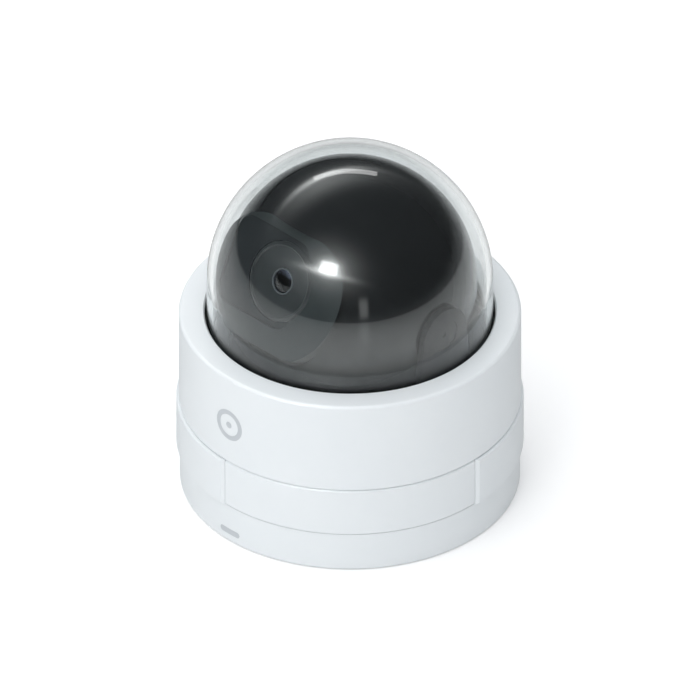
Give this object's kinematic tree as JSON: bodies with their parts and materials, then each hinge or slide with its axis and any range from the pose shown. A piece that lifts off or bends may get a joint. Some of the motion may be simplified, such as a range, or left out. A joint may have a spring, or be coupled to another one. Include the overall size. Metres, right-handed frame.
{
  "type": "dome cctv camera",
  "caption": "Compact indoor dome camera: a white drum base on a twist-lock wall plate, a lift-off cover with a clear dome, and a black pan and tilt camera ball inside.",
  "frame": {"origin": "centre of the mounting face, at the bottom of the camera as it stands", "axes": "+Z is the axis of the dome, away from the mounting face; the lens looks towards -Y at rest; the tilt axis lies along X; the side cover faces between +X and -Y"},
  "size_m": [0.0849, 0.0849, 0.0922],
  "materials": {
    "white_shell": "satin white moulded polycarbonate with a fine even texture",
    "black_shell": "polished black moulded plastic",
    "black_frame": "black glass-filled nylon with a fine mat texture",
    "dome": "clear optical polycarbonate, hard coated",
    "lens_glass": "coated optical glass",
    "smoked_window": "smoked acrylic that passes infrared",
    "filter_glass": "thin coated glass",
    "wall_plate": "white moulded plastic",
    "gasket": "black silicone rubber",
    "foam": "dark closed-cell foam",
    "board": "green solder mask on glass-epoxy board",
    "chip": "black moulded epoxy",
    "pad": "blue-grey thermal silicone pad",
    "steel": "zinc plated steel",
    "socket_steel": "tinned steel shield",
    "contact": "gold plated contacts",
    "capacitor": "sleeved aluminium can",
    "washer": "natural acetal friction washer",
    "barrel": "black anodised aluminium with fine threads",
    "lamp": "moulded epoxy lamp",
    "sensor": "cover glass over the image chip",
    "white_part": "natural nylon connector"
  },
  "bodies": {
    "base": {"base_housing": "white_shell", "base_gasket": "foam", "main_board": "board", "network_jack": "socket_steel", "jack_contacts": "contact", "power_transformer": "chip", "capacitors": "capacitor", "processor": "chip", "thermal_pad": "pad", "memory_chips": "chip", "board_connector": "white_part", "microphone": "steel", "card_socket": "socket_steel", "reset_switch": "chip", "chassis_frame": "black_frame", "board_screws": "steel", "pan_washer": "washer", "pan_retainer": "black_frame", "retainer_screws": "steel"},
    "cover": {"cover_ring": "white_shell", "dome_bubble": "dome", "dome_gasket": "gasket", "dome_clamp": "black_frame", "clamp_screws": "steel"},
    "side_cover": {"side_cover": "white_shell"},
    "wall_plate": {"mount_plate": "wall_plate"},
    "card": {"memory_card": "chip"},
    "reset": {"reset_button": "white_part"},
    "pan": {"pan_yoke": "black_frame", "tilt_pin_left": "black_shell", "tilt_pin_right": "black_shell", "tilt_washers": "washer"},
    "tilt": {"head_front_shell": "black_shell", "head_rear_shell": "black_shell", "front_window": "smoked_window", "lens_bezel": "black_frame", "lens_barrel": "barrel", "lens_glass": "lens_glass", "lens_holder": "black_frame", "focus_nut": "barrel", "image_sensor": "sensor", "sensor_board": "board", "sensor_connector": "white_part", "head_screws": "steel", "filter_actuator": "chip", "lamp_board": "board", "night_lamps": "lamp", "light_sensor": "lamp"},
    "filter": {"filter_slide": "black_frame", "infrared_filter": "filter_glass", "clear_filter": "filter_glass"}
  },
  "joints": [
    {"name": "camera_pan", "type": "hinge", "parent": "base", "child": "pan", "pos_m": [0, 0, 0.0571], "axis": [0, 0, 1], "range_deg": [-175, 175]},
    {"name": "camera_tilt", "type": "hinge", "parent": "pan", "child": "tilt", "pos_m": [0, 0, 0.0571], "axis": [1, 0, 0], "range_deg": [-65, 20]},
    {"name": "filter_shift", "type": "slide", "parent": "tilt", "child": "filter", "axis": [-1, 0, 0], "range_m": [0, 0.007]},
    {"name": "cover_lift", "type": "slide", "parent": "base", "child": "cover", "axis": [0, 0, 1], "range_m": [0, 0.07]},
    {"name": "side_cover_pull", "type": "slide", "parent": "base", "child": "side_cover", "axis": [0.7071, -0.7071, 0], "range_m": [0, 0.012]},
    {"name": "plate_twist", "type": "hinge", "parent": "base", "child": "wall_plate", "pos_m": [0, 0, 0], "axis": [0, 0, 1], "range_deg": [-30, 0]},
    {"name": "reset_press", "type": "slide", "parent": "base", "child": "reset", "axis": [-0.9336, 0.3584, 0], "range_m": [0, 0.0005], "stiffness_N_per_m": 400},
    {"name": "card_eject", "type": "slide", "parent": "base", "child": "card", "axis": [0.7071, -0.7071, 0], "range_m": [0, 0.0026]}
  ]
}
